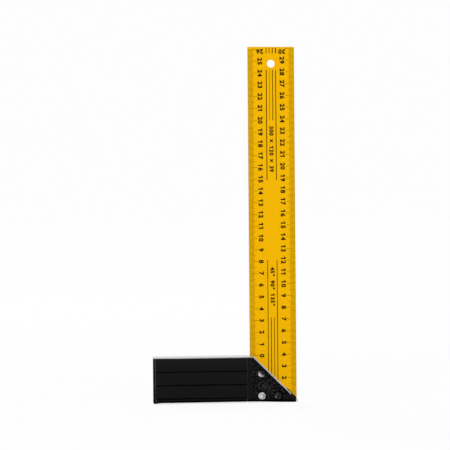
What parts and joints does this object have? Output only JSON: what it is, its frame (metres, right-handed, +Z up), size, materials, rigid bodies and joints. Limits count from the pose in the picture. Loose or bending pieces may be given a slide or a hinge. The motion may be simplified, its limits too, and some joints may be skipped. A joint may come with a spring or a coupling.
{
  "type": "carpenter square",
  "caption": "Fixed carpenter's try square: a graduated steel blade riveted at a right angle into a cast metal stock with a 45 degree mitre and grip grooves.",
  "frame": {"origin": "middle of the stock's outer working face, which the square stands on", "axes": "+Z up along the blade, +X along the stock from its butt end to the heel of the square, +Y through the thickness to the back"},
  "size_m": [0.122, 0.018, 0.3013],
  "materials": {
    "blade_lacquer": "satin",
    "stock_casting": "satin",
    "rivet_steel": "satin",
    "rivet_painted": "satin",
    "print_ink": "matte"
  },
  "bodies": {
    "root": {"blade": "blade_lacquer", "stock": "stock_casting", "rivet_upper": "rivet_steel", "rivet_lower": "rivet_steel", "rivet_tip": "rivet_painted"}
  },
  "joints": []
}
